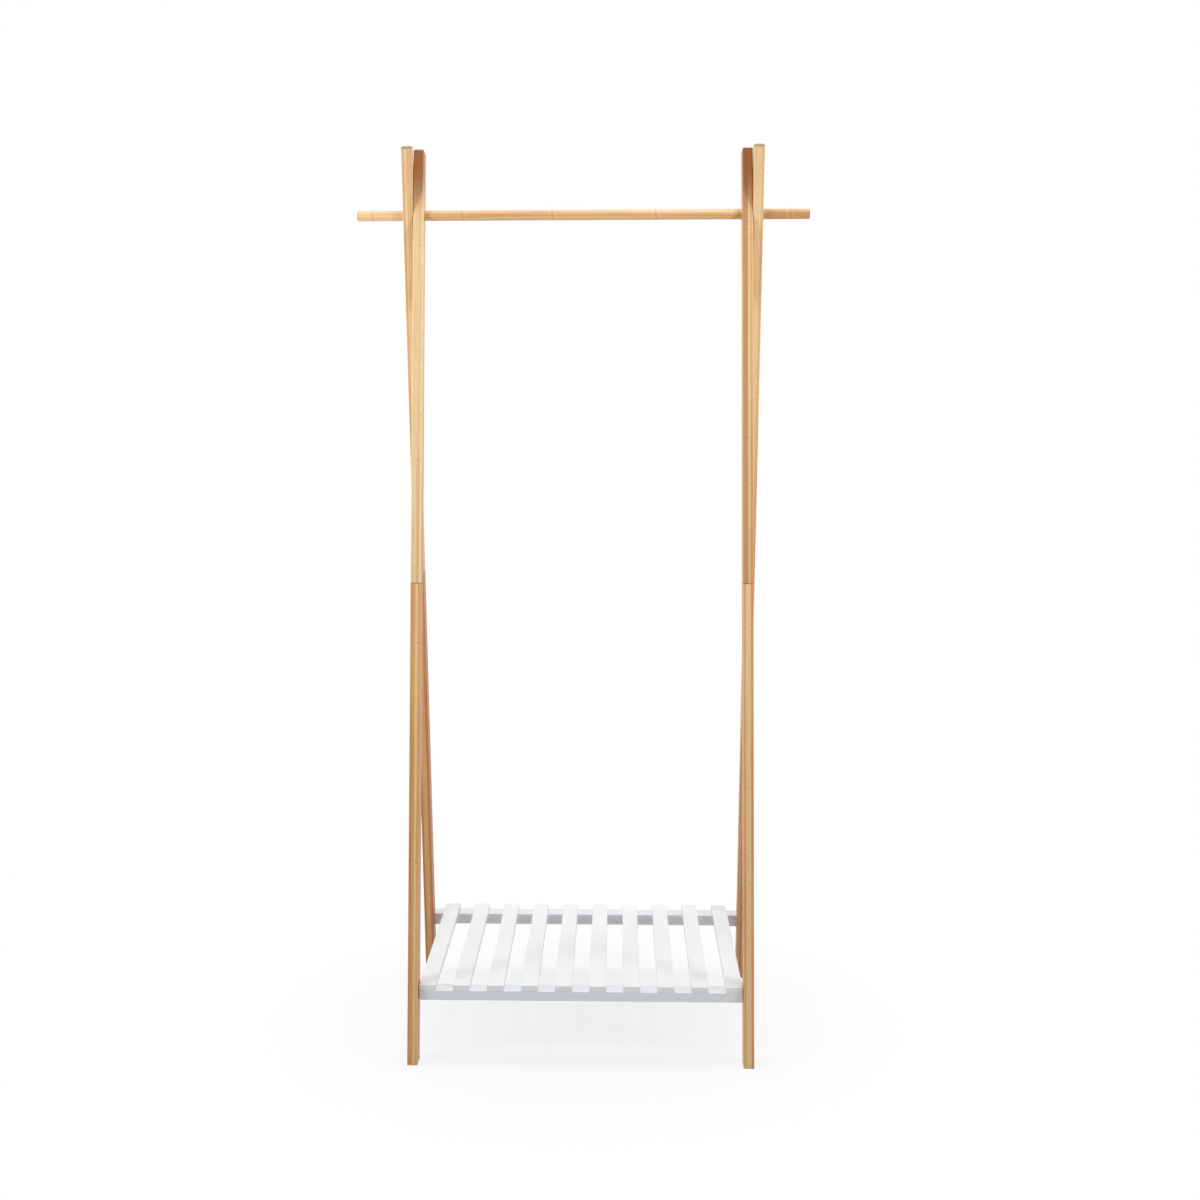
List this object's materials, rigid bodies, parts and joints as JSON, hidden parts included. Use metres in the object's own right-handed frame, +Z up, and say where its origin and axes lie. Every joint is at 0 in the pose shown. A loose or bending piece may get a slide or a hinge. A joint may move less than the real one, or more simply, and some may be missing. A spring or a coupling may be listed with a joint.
{
  "type": "clothes rack",
  "caption": "Free-standing folding clothes rack: crossed bamboo legs pivot on a round hanging rail, with a white slatted shelf between the feet.",
  "frame": {"origin": "on the floor, at the middle of the rack's outline seen from above", "axes": "+Z up; +X along the hanging rail, to the right seen from the front; +Y towards the rear"},
  "size_m": [0.8, 0.52, 1.5869],
  "materials": {
    "leg_wood": "clear satin lacquer on laminated bamboo",
    "rail_wood": "clear satin lacquer on turned bamboo",
    "white_paint": "white satin paint",
    "zinc_steel": "bright zinc plating",
    "washer_plastic": "natural nylon"
  },
  "bodies": {
    "inner_frame": {"inner_leg_upper_left": "leg_wood", "inner_leg_upper_right": "leg_wood", "inner_leg_lower_left": "leg_wood", "inner_leg_lower_right": "leg_wood", "inner_leg_studs": "zinc_steel", "inner_leg_inserts": "zinc_steel", "inner_leg_dowels": "leg_wood"},
    "outer_frame": {"outer_leg_upper_left": "leg_wood", "outer_leg_upper_right": "leg_wood", "outer_leg_lower_left": "leg_wood", "outer_leg_lower_right": "leg_wood", "outer_leg_studs": "zinc_steel", "outer_leg_inserts": "zinc_steel", "outer_leg_dowels": "leg_wood", "hanging_rail": "rail_wood", "rail_screws": "zinc_steel"},
    "shelf": {"front_batten": "white_paint", "rear_batten": "white_paint", "slat_screws": "zinc_steel", "pivot_bolts": "zinc_steel", "batten_inserts": "zinc_steel", "pivot_washers": "washer_plastic", "slat_1": "white_paint", "slat_2": "white_paint", "slat_3": "white_paint", "slat_4": "white_paint", "slat_5": "white_paint", "slat_6": "white_paint", "slat_7": "white_paint", "slat_8": "white_paint", "slat_9": "white_paint", "slat_10": "white_paint"}
  },
  "joints": [
    {"name": "legs_fold", "type": "hinge", "parent": "inner_frame", "child": "outer_frame", "pos_m": [0, -0.00486, 1.466], "axis": [-1, 0, 0], "range_deg": [0, 18.4]},
    {"name": "shelf_lift", "type": "hinge", "parent": "inner_frame", "child": "shelf", "pos_m": [0, -0.21636, 0.1155], "axis": [1, 0, 0], "range_deg": [0, 78]}
  ],
  "couplings": [
    {"joint": "shelf_lift", "follows": "legs_fold", "ratio": 4.2391}
  ]
}
